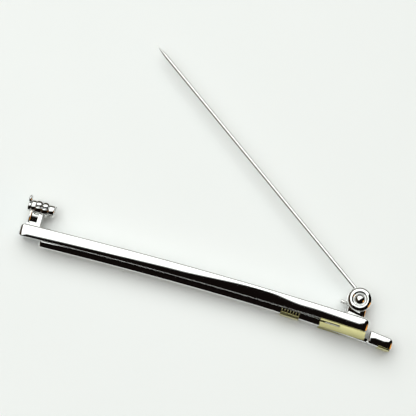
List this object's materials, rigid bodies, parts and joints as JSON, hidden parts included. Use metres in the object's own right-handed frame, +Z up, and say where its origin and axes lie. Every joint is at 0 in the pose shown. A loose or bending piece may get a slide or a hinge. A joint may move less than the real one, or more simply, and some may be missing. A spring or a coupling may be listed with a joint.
{
  "type": "tie clip with brooch pin",
  "caption": "Polished bowed tie bar with a sprung clip arm on one long face and a brooch joint, pin stem and rotating safety catch on the other.",
  "frame": {"origin": "centre of the bar's resting side face, at mid length", "axes": "+X along the bar towards the thumb tab, +Y towards the brooch findings, +Z up, away from the surface it lies on"},
  "size_m": [0.0647, 0.0396, 0.004],
  "materials": {
    "polished_silver": "mirror-polished silver-coloured plating",
    "pale_brass": "pale satin brass",
    "spring_steel": "polished stainless wire"
  },
  "bodies": {
    "bar": {"main_bar": "polished_silver", "clip_bracket": "pale_brass", "clip_pivot_pin": "pale_brass", "clip_spring": "spring_steel", "pin_joint": "polished_silver", "joint_rivet": "spring_steel", "catch_base": "polished_silver"},
    "arm": {"clip_arm": "polished_silver", "grip_band": "pale_brass", "thumb_tab": "polished_silver", "thumb_pad": "pale_brass"},
    "pin": {"pin_stem": "spring_steel"},
    "rotor": {"catch_rotor": "polished_silver"}
  },
  "joints": [
    {"name": "arm_open", "type": "hinge", "parent": "bar", "child": "arm", "pos_m": [0.0272, -0.00243, 0.002], "axis": [0, 0, 1], "range_deg": [0, 10], "stiffness_Nm_per_rad": 0.01, "springref_deg": -17.19, "deforming": ["clip_spring"]},
    {"name": "pin_swing", "type": "hinge", "parent": "bar", "child": "pin", "pos_m": [0.0274, 0.00332, 0.002], "axis": [0, 0, 1], "range_deg": [-90, 35.9]},
    {"name": "rotor_turn", "type": "hinge", "parent": "bar", "child": "rotor", "pos_m": [-0.0277, 0.00387, 0.002], "axis": [1, 0, 0], "range_deg": [0, 130]}
  ]
}
